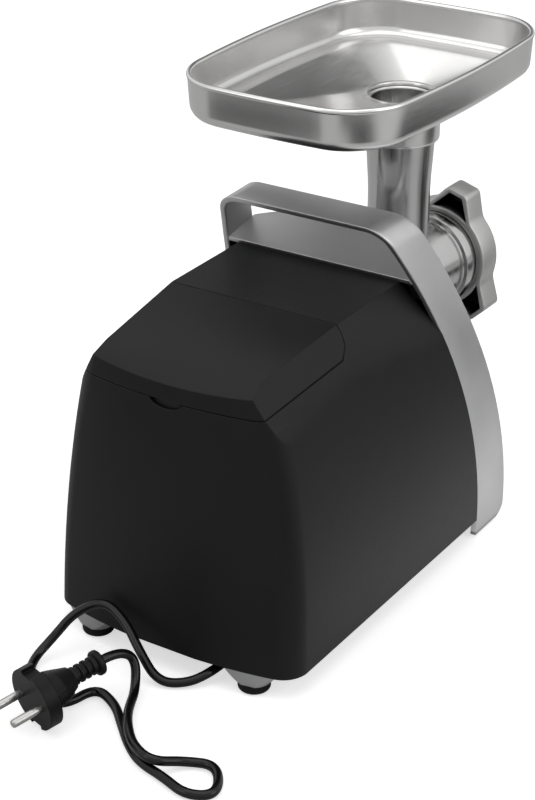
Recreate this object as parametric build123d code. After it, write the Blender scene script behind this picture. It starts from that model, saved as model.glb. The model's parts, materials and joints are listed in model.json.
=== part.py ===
from build123d import *
from math import acos, atan2, cos, degrees, hypot, pi, radians, sin, sqrt, tan
import os

# Electric meat grinder, millimetres. +X is the left side seen from behind, -Y is the outlet end, +Z is up.
# It is drawn from the gearbox's datum, and moved at the end so that the origin is on the table, under the
# middle of the length from the ring nut's face to the housing's rear.

# Housing form
FOOT_HEIGHT = 14.0
CROWN = 232.0
REAR_Y = 167.0
FRONT_Y = -105.0
REAR_WIDTHS = (168.0, 150.0, 90.6)
FRONT_WIDTHS = (156.8, 168.3, 130.0)
REAR_BOW = 325.0
REAR_LEAN = 4.0
REAR_CORNER = 16.0
CROWN_ROUND = 17.0
WALL = 2.6

# Silver frame: its rear and front edges seen from the side, at the foot, the waist and the crown
FRAME_REAR = (-62.3, -32.5, 24.8)
FRAME_FRONT = (-100.3, -64.5, -5.2)
FRAME_WALL = 4.0
FRAME_FLOOR_GAP = 1.5
FRAME_TOE_ROUND = 8.0

# Roof line seen from the side
DECK_REAR = (4.8, 196.0)
DECK_SLOPE = 10.0
LID_FRONT = (72.0, 192.8)
LID_SLOPE = 7.4
LID_TOP_LENGTH = 70.0
LID_REAR_CHAMFER = 29.0
ROOF_HALF_WIDTH = 55.9
ROOF_TAPER = 3.9
ROOF_CHAMFER = 60.0

# Storage lid, its hinge and the bin under it
LID_WALL = 2.2
LID_GAP = 0.6
LID_DEPTH = 15.6
LID_BROW = 5.0
LID_CHEEK = (2.0, 10.6)
LID_TOE = 9.0
HINGE_SETBACK = 9.6
HINGE_DEPTH = 2.8
HINGE_PIN = 0.8
HINGE_RUN = 0.05
HINGE_EYE = 1.7
HINGE_X = 35.0
HINGE_EYE_WIDTH = 4.0
POST_ROOM = (4.5, 2.0, 1.9)
NOTCH_WIDTH = 22.0
NOTCH_HEIGHT = 4.5
NOTCH_DEPTH = 1.8
BIN_WALL = 2.0
BIN_FLOOR = 122.0
BIN_MOUTH = 96.0

# Front panel with its openings
PANEL_WALL = 3.0
PANEL_RECESS = 3.0
PANEL_EDGE_ROUND = 5.0
NOSE_BOW = 100.0
NOSE_SETBACK = 0.6
BUTTON_RADIUS = 8.0
BUTTON_GAP = 0.4
BUTTON_PROUD = 3.0
BUTTON_TRAVEL = 2.5
BUTTON_FLANGE = 1.5
POWER_BUTTON = (52.0, 118.0)
REVERSE_BUTTON = (-52.0, 118.0)
RELEASE_BUTTON = (-52.0, 156.0)
SWITCH_DEPTH = 14.0

# Base plate and feet
BASE_THICK = 3.0
REAR_FOOT_X = 55.0
REAR_FOOT_SETBACK = 12.5
REAR_FOOT = (REAR_FOOT_X, REAR_Y - REAR_FOOT_SETBACK)
LEG_TOP_RADIUS = 17.0
LEG_RADIUS = 9.9
LEG_HEIGHT = 8.0
PAD_RADIUS = 9.5
PAD_ROUND = 2.6
FRONT_FOOT = (48.0, -48.0)
FRONT_FOOT_SIZE = (15.0, 24.0)
VENT_LENGTH = 60.0
VENT_WIDTH = 4.0
VENT_PITCH = 9.0
VENT_COUNT = 5
VENT_Y = 48.0
SCREW_RADIUS = 2.0
SCREW_HEAD_RADIUS = 3.6
SCREW_HEAD = 2.2
SCREW_LENGTH = 12.0
BASE_SCREWS = ((60.0, 100.0), (60.0, 10.0))
BOSS_RADIUS = 5.0

# Grinder head on its axis
HEAD_Z = 148.6
SOCKET_RADIUS = 36.0
SOCKET_BORE = 29.0
SOCKET_FACE = -54.0
SPIGOT_FIT = 0.08
SPIGOT_BACK = -32.0
BARREL_RADIUS = 27.5
BARREL_BORE = 22.6
BARREL_SHOULDER = 33.0
SHOULDER_THICK = 4.0
OUTLET_FLANGE = 31.5
OUTLET_FLANGE_FACE = -138.0
OUTLET_FLANGE_THICK = 5.0
THREAD_RADIUS = 30.0
OUTLET_FACE = -156.0
PLATE_RADIUS = 26.9
PLATE_THICK = 5.0
PLATE_HOLE = 2.6
PLATE_PITCH = 7.0
PLATE_RINGS = 4
PLATE_CENTRE_HOLE = 4.1
PLATE_FIT = 0.1
TUBE_Y = -92.0
TUBE_RADIUS = 20.7
TUBE_WAIST = 19.3
TUBE_BORE = 16.6
TUBE_TAPER = 30.0
AUGER_RADIUS = 21.8
AUGER_CORE = (13.0, 9.0)
AUGER_PITCH = 26.0
AUGER_FLIGHT = 5.0
AUGER_BACK = -58.5
AUGER_FRONT = -143.0
AUGER_TAIL_FLATS = 11.0
TAIL_GRIP = 16.0
TAIL_RADIUS = 7.0
BUSH_RADIUS = 10.0
TAIL_FIT = 0.3
KNIFE_THICK = 8.0
KNIFE_SPAN = 50.0
KNIFE_ARM = 11.0
KNIFE_ROUND = 2.75
KNIFE_HUB = 9.0
KNIFE_SQUARE = 9.0
NUT_BACK = -141.5
NUT_FRONT = -160.5
NUT_RADIUS = 35.6
NUT_LIP = 24.0
NUT_FIT = 0.1
NUT_LOBES = 3
NUT_LOBE_RADIUS = 48.2
NUT_LOBE_START = 27.0
NUT_LOBE_TIP = 15.0
NUT_LOBE_ROOT = 37.0
NUT_LOBE_TURN = 17.0
NUT_WALL = 2.8
NUT_HOLLOW = 12.0
NUT_TIP_ROUND = 4.0

# Hopper tray
TRAY_WIDTH = 147.8
TRAY_FRONT = -157.8
TRAY_REAR = 62.3
TRAY_SIDE_BOW = 6.8
TRAY_END_BOW = 3.4
TRAY_CORNER = 34.0
TRAY_TOP = 310.6
TRAY_DEPTH = 25.0
TRAY_DRAFT = 5.0
TRAY_SHEET = 1.2
TRAY_LEDGE = 9.0
TRAY_DISH = 14.1
TRAY_RIM = 1.7
TRAY_RIM_ROUND = 1.5
COLLAR_FIT = 0.1
COLLAR_WALL = 2.0
COLLAR_DROP = 16.0
TRAY_MOUTH = 17.6
TUBE_SEAT = 3.5
TUBE_TOP = TRAY_TOP - TRAY_DEPTH - TRAY_DISH - TUBE_SEAT

# Gear train
MOTOR_Z = 66.0
PRESSURE = radians(20.0)
ADDENDUM = 0.75
DEDENDUM = 1.15
BACKLASH = 0.24
FLANK_STEPS = 3
STAGE_MODULES = (0.8, 1.0, 1.25)
STAGE_TEETH = ((12, 66), (13, 60), (12, 54))
STAGE_BACKS = (19.0, 9.5, -1.0)
STAGE_WIDTHS = (8.0, 9.0, 14.0)
SECOND_AXIS_SWING = 20.0
AXLE_RADIUS = 3.0
RUN_FIT = 0.04
HUB_RADIUS = 6.0
STUB_RADIUS = 2.5
PLATE_BACK = 26.0
PLATE_FRONT = 21.0
COVER_BACK = -17.0
COVER_FRONT = -21.0
CASE_WALL = 3.0
CASE_HALF_WIDTH = 50.0
CASE_ROUND = 12.0
CASE_TOP = 187.5
DRIVE_RADIUS = 10.0
DRIVE_FRONT = -47.0
BUSH_WALL = 3.0
SEAL_THICK = 4.0
CASE_SCREWS = ((43.0, 30.0), (43.0, 178.0))

# Motor
SHAFT_RADIUS = 4.0
BEARING_RADIUS = 11.0
BEARING_WIDTH = 7.0
CORE_RADIUS = 22.0
AIR_GAP = 0.6
STATOR_SIZE = (78.0, 70.0)
STATOR_FRONT = 49.0
STATOR_BACK = 91.0
ARMATURE_SLOTS = 12
SLOT_WIDTH = 3.0
SLOT_DEPTH = 6.0
COIL_REACH = 8.0
COIL_SIZE = (54.0, 12.0)
COIL_ROUND = 4.0
FAN_RADIUS = 30.0
FAN_FRONT = 31.5
FAN_LENGTH = 9.0
FAN_BLADES = 12
FAN_BLADE = 1.6
COMMUTATOR_RADIUS = 12.0
COMMUTATOR_FRONT = 101.0
COMMUTATOR_LENGTH = 16.0
BRUSH_SIZE = (6.0, 8.0, 16.0)
BRUSH_GAP = 0.3
BRUSH_WALL = 1.2
BRACKET_BACK = 131.0
TIE_X = 33.0
TIE_RISE = 28.0
TIE_RADIUS = 2.5

# Cord, gland and plug
CORD_DIAMETER = 5.4
GLAND_X = -33.0
GLAND_Z = 7.6
GLAND_BACK = 124.0
GLAND_LENGTH = 26.0
GLAND_ROOT = 5.6
GLAND_TIP = 1.0
OUTLET_BLOCK = (20.0, 16.0, 12.5)
CORD_POINTS = (
    (GLAND_X, GLAND_BACK + GLAND_LENGTH, GLAND_Z), (GLAND_X, 162.8, GLAND_Z), (-24.4, 175.6, 3.2),
    (-9.3, 184.0, 3.0), (6.5, 179.4, 16.1), (20.7, 172.3, 26.5), (38.0, 169.0, 33.7), (53.1, 178.1, 25.1),
    (61.1, 188.2, 11.1), (64.0, 205.3, 3.0), (53.1, 221.1, 3.3), (38.7, 234.3, 3.0), (20.5, 231.0, 3.0),
    (16.4, 206.9, 3.1), (-2.0, 214.0, 3.0), (-16.2, 227.1, 3.0), (-29.7, 239.7, 3.0), (-44.8, 250.0, 3.0),
    (-63.3, 253.9, 3.1), (-82.6, 260.3, 3.0), (-96.7, 251.0, 3.0), (-82.1, 229.6, 3.1), (-64.6, 236.7, 3.1),
    (-56.4, 254.3, 10.2), (-37.5, 245.7, 8.5), (-24.2, 232.3, 9.3), (-13.6, 217.0, 6.0), (-5.4, 199.4, 5.1),
    (1.5, 189.2, 18.9), (6.4, 199.8, 26.6), (9.9, 210.7, 25.0),
)
BEND_SHARE = 0.45
PLUG_FLANGE = 18.5
PLUG_FLANGE_THICK = 8.0
PLUG_NOTCH = 3.0
PLUG_NOTCH_WIDTH = 9.0
PLUG_LENGTH = 46.0
PLUG_GRIP = ((15.0, 12.4), (25.0, 16.0), (31.0, 17.0))
PLUG_NECK_RADIUS = 5.4
PLUG_RELIEF_LENGTH = 20.0
PLUG_COLLAR_RADIUS = 7.4
PLUG_COLLAR = 4.0
PLUG_COLLAR_ROUND = 1.3
PLUG_RELIEF_GROOVES = 3
PLUG_GROOVE = (1.4, 2.4)
PIN_RADIUS = 2.4
PIN_LENGTH = 19.0
PIN_SPACING = 19.0
PIN_TIP_ROUND = 1.4

FAR = 400.0
NEAR = 1.0


# Drawing helpers

def front_plane(y):
    # Drawn in X and Z, pulled out towards -Y
    return Plane(origin=(0, y, 0), x_dir=(1, 0, 0), z_dir=(0, -1, 0))


def slab(sketch, front, back):
    return extrude(front_plane(back) * sketch, amount=back - front)


def disc(radius, front, back, x=0.0, z=0.0, bore=0.0):
    sketch = Pos(x, z) * Circle(radius)
    if bore:
        sketch -= Pos(x, z) * Circle(bore)
    return slab(sketch, front, back)


def upright(sketch, bottom, top):
    return extrude(Plane(origin=(0, 0, bottom)) * sketch, amount=top - bottom)


def side_prism(edges):
    # Drawn in Y and Z, as wide as the whole object
    return extrude(Plane.YZ * make_face(edges), amount=FAR / 2, both=True)


def above(z):
    return Pos(0, 0, z + FAR / 2) * Box(FAR * 2, FAR * 2, FAR)


def both_sides(shape):
    return [shape, mirror(shape, about=Plane.YZ)]


def frame_edge(ys):
    return ThreePointArc((ys[0], 0), (ys[1], CROWN / 2), (ys[2], CROWN))


def frame_edge_y(ys, z):
    # Where that edge is at height z, from the arc's own circle
    edge = frame_edge(ys)
    centre = edge.arc_center
    return centre.X - sqrt(edge.radius ** 2 - (z - centre.Y) ** 2)


# Housing form

def section(y, widths, inset):
    foot, waist, crown = (width / 2 - inset for width in widths)
    left = ThreePointArc((foot, 0), (waist, CROWN / 2), (crown, CROWN))
    right = ThreePointArc((-crown, CROWN), (-waist, CROWN / 2), (-foot, 0))
    top = Line((crown, CROWN), (-crown, CROWN))
    bottom = Line((-foot, 0), (foot, 0))
    face = make_face([left, top, right, bottom]) - Pos(0, CROWN - inset + FAR / 2) * Rectangle(FAR, FAR)
    return front_plane(y) * fillet(face.vertices().group_by(Axis.Y)[-1], CROWN_ROUND - inset)


def body_form(inset):
    form = loft([section(REAR_Y, REAR_WIDTHS, inset), section(FRONT_Y, FRONT_WIDTHS, inset)], ruled=True)
    lean = radians(REAR_LEAN)
    centre = (0, REAR_Y - REAR_BOW, FOOT_HEIGHT)
    bow = Plane(origin=centre, x_dir=(1, 0, 0), z_dir=(0, -sin(lean), cos(lean)))
    form &= extrude(bow * Circle(REAR_BOW - inset), amount=FAR, both=True)
    corners = [e for e in form.edges() if e.center().Y > REAR_Y / 2 and e.length > CROWN / 2
               and abs(e.center().X) > ROOF_HALF_WIDTH / 2]
    return fillet(corners, REAR_CORNER - inset)


OUTER = body_form(0)
INNER = body_form(WALL)
INSIDE_FRAME = body_form(FRAME_WALL)
HEAD_AXIS = (0.0, HEAD_Z)


def roof_point(length, drop):
    # On the lid: length back from its front line, drop below its top face
    slope = radians(LID_SLOPE)
    y = LID_FRONT[0] + length * cos(slope) - drop * sin(slope)
    return (y, LID_FRONT[1] - length * sin(slope) - drop * cos(slope))


def under_roof(inset):
    lid_rear = roof_point(LID_TOP_LENGTH, inset)
    chamfer_end = (lid_rear[0] + FAR / 4, lid_rear[1] - FAR / 4 * tan(radians(LID_REAR_CHAMFER)))
    front = (FRONT_Y, DECK_REAR[1] - inset)
    ridge = (LID_FRONT[0], LID_FRONT[1] - inset)
    outline = Polyline((front[0], 0), front, ridge, lid_rear, chamfer_end, (chamfer_end[0], 0), close=True)
    roof = side_prism(outline)
    rearward = (-tan(radians(ROOF_TAPER)), 1, -tan(radians(LID_SLOPE)))
    edge = ROOF_HALF_WIDTH - inset / sin(radians(ROOF_CHAMFER))
    low = (edge + FAR * cos(radians(ROOF_CHAMFER)), LID_FRONT[1] - FAR * sin(radians(ROOF_CHAMFER)))
    outside = Polyline((edge, LID_FRONT[1]), low, (FAR, FAR * 2), (edge, FAR * 2), close=True)
    for direction in ((0, -1, 0), rearward):
        cutter = extrude(front_plane(LID_FRONT[0]) * make_face(outside), amount=FAR, dir=direction)
        for piece in both_sides(cutter):
            roof -= piece
    return roof


def behind_frame(offset):
    edge = frame_edge([y + offset for y in FRAME_REAR])
    return side_prism([edge, Polyline(edge @ 1, (FAR, CROWN), (FAR, 0), edge @ 0)])


HINGE = roof_point(HINGE_SETBACK, HINGE_DEPTH)


def lid_space(gap):
    # Room that the lid takes out of the housing, with a gap all round; its cheeks run back under the hinge
    front = LID_GAP - gap
    outline = [roof_point(front, -FAR), roof_point(front, LID_BROW),
               roof_point(front + LID_CHEEK[0], LID_CHEEK[1] + gap / 2),
               roof_point(front + LID_TOE, LID_DEPTH + gap),
               roof_point(FAR / 2, LID_DEPTH + gap), roof_point(FAR / 2, -FAR)]
    return side_prism(Polyline(*outline, close=True))


def bar_x(radius, y, z, x_from, x_to):
    plane = Plane(origin=(x_from, y, z), x_dir=(0, 1, 0), z_dir=(1, 0, 0))
    return extrude(plane * Circle(radius), amount=x_to - x_from)


def lid_parting(y):
    # Height of the seam under the lid
    start = roof_point(0, LID_DEPTH + LID_GAP)
    return start[1] - (y - start[0]) * tan(radians(LID_SLOPE))


def rear_wall_y(z):
    return REAR_Y - tan(radians(REAR_LEAN)) * (z - FOOT_HEIGHT)


def make_rear_housing():
    shell = OUTER & under_roof(0) & behind_frame(0) & above(FOOT_HEIGHT)
    shell -= INNER & under_roof(WALL)
    shell -= lid_space(LID_GAP)
    seat = FOOT_HEIGHT + BASE_THICK
    for x, y in BASE_SCREWS:
        place = Pos(x, y, seat + SCREW_LENGTH / 2)
        boss = place * Cylinder(BOSS_RADIUS, SCREW_LENGTH)
        boss += place * Pos(FAR / 4, 0, 0) * Box(FAR / 2, WALL, SCREW_LENGTH) & INNER
        boss -= place * Cylinder(SCREW_RADIUS, SCREW_LENGTH)
        for piece in both_sides(boss):
            shell += piece
    notch_z = lid_parting(rear_wall_y(LID_FRONT[1]))
    scoop = Pos(0, notch_z) * Ellipse(NOTCH_WIDTH / 2, NOTCH_HEIGHT)
    return shell - slab(scoop, rear_wall_y(notch_z) - NOTCH_DEPTH, REAR_Y)


def make_storage_lid():
    shell = OUTER & under_roof(0) & lid_space(0)
    shell -= body_form(LID_WALL) & under_roof(LID_WALL)
    inner = HINGE_X - HINGE_EYE_WIDTH / 2 - LID_GAP - HINGE_EYE_WIDTH
    knuckle = bar_x(HINGE_EYE, *HINGE, inner, inner + HINGE_EYE_WIDTH)
    web_top = HINGE_DEPTH - LID_WALL / 2
    knuckle += Pos(inner + HINGE_EYE_WIDTH / 2, HINGE[0], HINGE[1] + web_top / 2) * Box(
        HINGE_EYE_WIDTH, HINGE_EYE * 2, web_top)
    for piece in both_sides(knuckle):
        shell += piece
    for pin in make_lid_hinge_pins():
        shell -= pin
    # Hollows under the top, where it turns down past the posts
    front, back, rise = POST_ROOM
    slot = Pos(HINGE_X, HINGE[0] + (back - front) / 2, HINGE[1] + rise / 2) * Box(
        HINGE_EYE_WIDTH + LID_GAP * 2, front + back, rise)
    for piece in both_sides(slot):
        shell -= piece
    return shell


def make_lid_hinge_pins():
    inner = HINGE_X - HINGE_EYE_WIDTH / 2 - LID_GAP - HINGE_EYE_WIDTH
    return both_sides(bar_x(HINGE_PIN, *HINGE, inner, HINGE_X + HINGE_EYE_WIDTH / 2))


def make_storage_bin():
    front = HINGE[0] - BIN_WALL / 2
    room = Pos(0, front + FAR / 2, BIN_FLOOR + FAR / 2) * Box(FAR, FAR, FAR)
    bin_shell = INNER & room
    bin_shell -= body_form(WALL + BIN_WALL) & Pos(0, BIN_WALL, BIN_WALL) * room
    bin_shell &= under_roof(WALL)
    bin_shell -= lid_space(LID_GAP)
    wall_top = HINGE[1] - HINGE_DEPTH - LID_GAP
    wall = Pos(0, HINGE[0], (BIN_FLOOR + wall_top) / 2) * Box(BIN_MOUTH, BIN_WALL, wall_top - BIN_FLOOR)
    bin_shell += wall
    post_height = LID_DEPTH * 2
    post = Pos(HINGE_X, HINGE[0], HINGE[1] - post_height / 2) * Box(
        HINGE_EYE_WIDTH, HINGE_EYE * 2, post_height)
    post += bar_x(HINGE_EYE, *HINGE, HINGE_X - HINGE_EYE_WIDTH / 2, HINGE_X + HINGE_EYE_WIDTH / 2)
    post -= bar_x(HINGE_PIN + HINGE_RUN, *HINGE, 0, FAR)
    for piece in both_sides(post):
        bin_shell += piece
    return bin_shell


def make_silver_frame():
    rear = frame_edge(FRAME_REAR)
    front = frame_edge(FRAME_FRONT)
    outline = make_face([rear, Line(rear @ 1, front @ 1), front, Line(front @ 0, rear @ 0)])
    outline -= Pos(0, FRAME_FLOOR_GAP - FAR / 2) * Rectangle(FAR, FAR)
    toe = outline.vertices().group_by(Axis.Y)[0].sort_by(Axis.X)[0]
    outline = fillet(toe, FRAME_TOE_ROUND)
    return (OUTER - INSIDE_FRAME) & extrude(Plane.YZ * outline, amount=FAR / 2, both=True)


# Front panel

def panel_edge(depth):
    return [y + PANEL_RECESS + depth for y in FRAME_FRONT]


def deck_z(y, depth):
    return DECK_REAR[1] - depth + (DECK_REAR[0] - y) * tan(radians(DECK_SLOPE))


def panel_region(depth, rear):
    # Seen from the side: everything behind the panel's leaning face and under its deck, set back by depth
    edge = frame_edge(panel_edge(depth))
    region = make_face([edge, Polyline(edge @ 1, (rear, CROWN), (rear, 0), edge @ 0)])
    region -= make_face(Polyline((FAR, deck_z(FAR, depth)), (-FAR, deck_z(-FAR, depth)), (-FAR, FAR * 2),
                                 (FAR, FAR * 2), close=True))
    top = region.vertices().group_by(Axis.Y)[-1].sort_by(Axis.X)[0]
    return fillet(top, PANEL_EDGE_ROUND - depth)


def panel_nose(depth, rear):
    # Upright bulge that carries the deck forward over the head's socket, as far as the socket's face
    centre = SOCKET_FACE + NOSE_SETBACK + NOSE_BOW
    nose = extrude(Pos(0, centre, FOOT_HEIGHT) * Circle(NOSE_BOW - depth), amount=CROWN)
    top = [(rear, deck_z(rear, depth)), (-FAR, deck_z(-FAR, depth))]
    nose &= side_prism(Polyline((rear, 0), *top, (-FAR, 0), close=True))
    brim = nose.faces().sort_by(Axis.Z)[-1].edges().filter_by(GeomType.LINE, reverse=True)
    return fillet(brim, PANEL_EDGE_ROUND - depth)


def panel_prism(depth, rear):
    leaning = extrude(Plane.YZ * panel_region(depth, rear), amount=FAR / 2, both=True)
    return leaning + panel_nose(depth, rear)


def button_plane(place):
    # On the panel's face, pointing straight out of it
    x, z = place
    edge = frame_edge(panel_edge(0))
    y = frame_edge_y(panel_edge(0), z)
    out = Vector(0, y - edge.arc_center.X, z - edge.arc_center.Y).normalized()
    return Plane(origin=(x, y, z), x_dir=(1, 0, 0), z_dir=out)


def on_axis(plane, radius, start, end, bore=0.0):
    sketch = Circle(radius)
    if bore:
        sketch -= Circle(bore)
    return extrude(plane.offset(start) * sketch, amount=end - start)


def make_front_panel():
    shell = panel_prism(0, DECK_REAR[0]) & INSIDE_FRAME & above(FOOT_HEIGHT)
    shell -= behind_frame(0)
    shell -= panel_prism(PANEL_WALL, FAR)
    shell -= disc(SOCKET_RADIUS, FRONT_Y, PLATE_BACK, *HEAD_AXIS)
    for place in (POWER_BUTTON, REVERSE_BUTTON, RELEASE_BUTTON):
        shell -= on_axis(button_plane(place), BUTTON_RADIUS + BUTTON_GAP, -PANEL_WALL * 2, PANEL_WALL)
    return shell


FLANGE_FRONT = -PANEL_WALL - BUTTON_GAP
FLANGE_BACK = FLANGE_FRONT - BUTTON_FLANGE
GUIDE_BACK = FLANGE_BACK - BUTTON_TRAVEL - BUTTON_GAP
GUIDE_RADIUS = BUTTON_RADIUS + BUTTON_FLANGE + BUTTON_GAP


def make_button(place):
    plane = button_plane(place)
    cap = on_axis(plane, BUTTON_RADIUS, FLANGE_FRONT, BUTTON_PROUD)
    cap = fillet(cap.faces().sort_by_distance(plane.offset(BUTTON_PROUD).origin)[0].edges(), BUTTON_GAP)
    return cap + on_axis(plane, BUTTON_RADIUS + BUTTON_FLANGE, FLANGE_BACK, FLANGE_FRONT)


def make_button_switches():
    # A guide round each button's flange, with the switch across its back
    pieces = []
    for place in (POWER_BUTTON, REVERSE_BUTTON, RELEASE_BUTTON):
        plane = button_plane(place)
        guide = on_axis(plane, GUIDE_RADIUS + WALL, GUIDE_BACK, 0, bore=GUIDE_RADIUS)
        guide += on_axis(plane, GUIDE_RADIUS + WALL, GUIDE_BACK - SWITCH_DEPTH / 2, GUIDE_BACK)
        pieces.append(guide & panel_prism(PANEL_WALL, FAR))
    return pieces


# Base plate, feet and screws

def make_base_plate():
    floor = FOOT_HEIGHT + BASE_THICK
    plate = INSIDE_FRAME & above(FOOT_HEIGHT) & panel_prism(PANEL_WALL, FAR)
    plate -= above(floor)
    block_x, block_y, block_z = OUTLET_BLOCK
    plate += Pos(GLAND_X, GLAND_BACK - block_y / 2, FOOT_HEIGHT - block_z / 2) * Box(*OUTLET_BLOCK)
    for x, y in BASE_SCREWS:
        hole = Pos(x, y, FOOT_HEIGHT) * Cylinder(SCREW_RADIUS, FAR / 4)
        for piece in both_sides(hole):
            plate -= piece
    slot = upright(SlotOverall(VENT_LENGTH, VENT_WIDTH), 0, floor)
    for i in range(VENT_COUNT):
        plate -= Pos(0, VENT_Y + i * VENT_PITCH, 0) * slot
    return plate


def make_rear_foot_legs():
    x, y = REAR_FOOT
    leg_z = FOOT_HEIGHT - LEG_HEIGHT / 2
    return both_sides(Pos(x, y, leg_z) * Cone(LEG_RADIUS, LEG_TOP_RADIUS, LEG_HEIGHT) & OUTER)


def make_rear_foot_pads():
    x, y = REAR_FOOT
    height = FOOT_HEIGHT - LEG_HEIGHT
    pad = Pos(x, y, height / 2) * Cylinder(PAD_RADIUS, height)
    return both_sides(fillet(pad.edges().group_by(Axis.Z)[0], PAD_ROUND))


def make_front_feet():
    x, y = FRONT_FOOT
    block = Pos(x, y, FOOT_HEIGHT / 2) * Box(*FRONT_FOOT_SIZE, FOOT_HEIGHT)
    return both_sides(fillet(block.edges().filter_by(Axis.Z), FRAME_WALL))


def make_base_screws():
    screws = []
    for x, y in BASE_SCREWS:
        shank = upright(Pos(x, y) * Circle(SCREW_RADIUS), FOOT_HEIGHT, FOOT_HEIGHT + SCREW_LENGTH)
        head = upright(Pos(x, y) * Circle(SCREW_HEAD_RADIUS), FOOT_HEIGHT - SCREW_HEAD, FOOT_HEIGHT)
        screws += both_sides(shank + head)
    return screws


# Gears: involute flanks drawn with short straight runs

def half_tooth(teeth, module, radius):
    pitch = teeth * module / 2
    base = pitch * cos(PRESSURE)
    here = acos(min(1, base / radius))
    at_pitch = (pi * module / 2 - BACKLASH) / (2 * pitch)
    return at_pitch + (tan(PRESSURE) - PRESSURE) - (tan(here) - here)


def gear(teeth, module, front, back, centre, toward):
    # One tooth points along toward, an angle in X and Z
    pitch = teeth * module / 2
    root = pitch - DEDENDUM * module
    tip = pitch + ADDENDUM * module
    start = max(root, pitch * cos(PRESSURE))
    flank = [start + (tip - start) * i / FLANK_STEPS for i in range(FLANK_STEPS + 1)]
    if root < start:
        flank.insert(0, root)
    points = []
    for i in range(teeth):
        middle = toward + 2 * pi * i / teeth
        rising = [(r, middle - half_tooth(teeth, module, r)) for r in flank]
        falling = [(r, middle + half_tooth(teeth, module, r)) for r in reversed(flank)]
        points += [(centre[0] + r * cos(a), centre[1] + r * sin(a)) for r, a in rising + falling]
    return slab(make_face(Polyline(*points, close=True)), front, back)


def centre_distance(stage):
    return STAGE_MODULES[stage] * sum(STAGE_TEETH[stage]) / 2


def direction(start, end):
    return atan2(end[1] - start[1], end[0] - start[0])


def gap_angle(teeth, angle):
    return angle + pi / teeth


MOTOR_AXIS = (0.0, MOTOR_Z)
swing = radians(SECOND_AXIS_SWING)
SECOND_AXIS = (-centre_distance(2) * sin(swing), HEAD_Z - centre_distance(2) * cos(swing))
span = hypot(SECOND_AXIS[0] - MOTOR_AXIS[0], SECOND_AXIS[1] - MOTOR_AXIS[1])
along = (centre_distance(0) ** 2 - centre_distance(1) ** 2 + span ** 2) / (2 * span)
aside = sqrt(centre_distance(0) ** 2 - along ** 2)
unit = ((SECOND_AXIS[0] - MOTOR_AXIS[0]) / span, (SECOND_AXIS[1] - MOTOR_AXIS[1]) / span)
FIRST_AXIS = (MOTOR_AXIS[0] + along * unit[0] + aside * unit[1],
              MOTOR_AXIS[1] + along * unit[1] - aside * unit[0])
AXES = (MOTOR_AXIS, FIRST_AXIS, SECOND_AXIS, HEAD_AXIS)


def stage_span(stage):
    return STAGE_BACKS[stage] - STAGE_WIDTHS[stage], STAGE_BACKS[stage]


def small_gear(stage, front, back):
    toward = direction(AXES[stage], AXES[stage + 1])
    return gear(STAGE_TEETH[stage][0], STAGE_MODULES[stage], front, back, AXES[stage], toward)


def large_gear(stage):
    teeth = STAGE_TEETH[stage][1]
    angle = gap_angle(teeth, direction(AXES[stage + 1], AXES[stage]))
    return gear(teeth, STAGE_MODULES[stage], *stage_span(stage), AXES[stage + 1], angle)


def make_motor_pinion():
    front, back = stage_span(0)
    return small_gear(0, front, back) - disc(STUB_RADIUS, front, back, *MOTOR_AXIS)


def make_reduction(stage):
    # A large gear and the next stage's pinion in one piece, running on its axle
    front, back = stage_span(stage)
    cluster = large_gear(stage) + small_gear(stage + 1, stage_span(stage + 1)[0], front)
    return cluster - disc(AXLE_RADIUS + RUN_FIT, COVER_FRONT, PLATE_BACK, *AXES[stage + 1])


def make_axle(axis):
    return disc(AXLE_RADIUS, COVER_FRONT, PLATE_BACK, *axis)


def make_output_gear():
    front, back = stage_span(2)
    return large_gear(2) - disc(DRIVE_RADIUS, front, back, *HEAD_AXIS)


def make_drive_shaft():
    back = STAGE_BACKS[2]
    shaft = disc(DRIVE_RADIUS, DRIVE_FRONT, back, *HEAD_AXIS)
    shaft += disc(HUB_RADIUS, back, PLATE_BACK, *HEAD_AXIS)
    socket = Pos(*HEAD_AXIS) * RegularPolygon(AUGER_TAIL_FLATS / 2 + TAIL_FIT, 6, major_radius=False)
    return shaft - slab(socket, DRIVE_FRONT, COVER_BACK)


def case_outline(inset):
    half = CASE_HALF_WIDTH - inset
    low = FOOT_HEIGHT + BASE_THICK + inset
    high = CASE_TOP - inset
    return Pos(0, (low + high) / 2) * RectangleRounded(half * 2, high - low, CASE_ROUND - inset)


def make_gearbox_plate():
    plate = slab(case_outline(0), PLATE_FRONT, PLATE_BACK)
    plate += disc(BEARING_RADIUS + BOSS_RADIUS, PLATE_BACK, PLATE_FRONT + BEARING_WIDTH, *MOTOR_AXIS)
    plate -= disc(BEARING_RADIUS, PLATE_FRONT, PLATE_FRONT + BEARING_WIDTH, *MOTOR_AXIS)
    plate -= disc(HUB_RADIUS + RUN_FIT, PLATE_FRONT, PLATE_BACK, *HEAD_AXIS)
    for axis in (FIRST_AXIS, SECOND_AXIS):
        plate -= disc(AXLE_RADIUS, PLATE_FRONT, PLATE_BACK, *axis)
    return plate - case_screw_holes() - tie_holes()


def make_gearbox_cover():
    cover = slab(case_outline(0), COVER_FRONT, PLATE_FRONT)
    cover -= slab(case_outline(CASE_WALL), COVER_BACK, PLATE_FRONT)
    for x, z in CASE_SCREWS:
        for sign in (1, -1):
            cover += disc(BOSS_RADIUS, COVER_BACK, PLATE_FRONT, sign * x, z)
    cover -= disc(DRIVE_RADIUS + BUSH_WALL, COVER_FRONT, COVER_BACK, *HEAD_AXIS)
    for axis in (FIRST_AXIS, SECOND_AXIS):
        cover -= disc(AXLE_RADIUS, COVER_FRONT, COVER_BACK, *axis)
    return cover - case_screw_holes()


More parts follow.
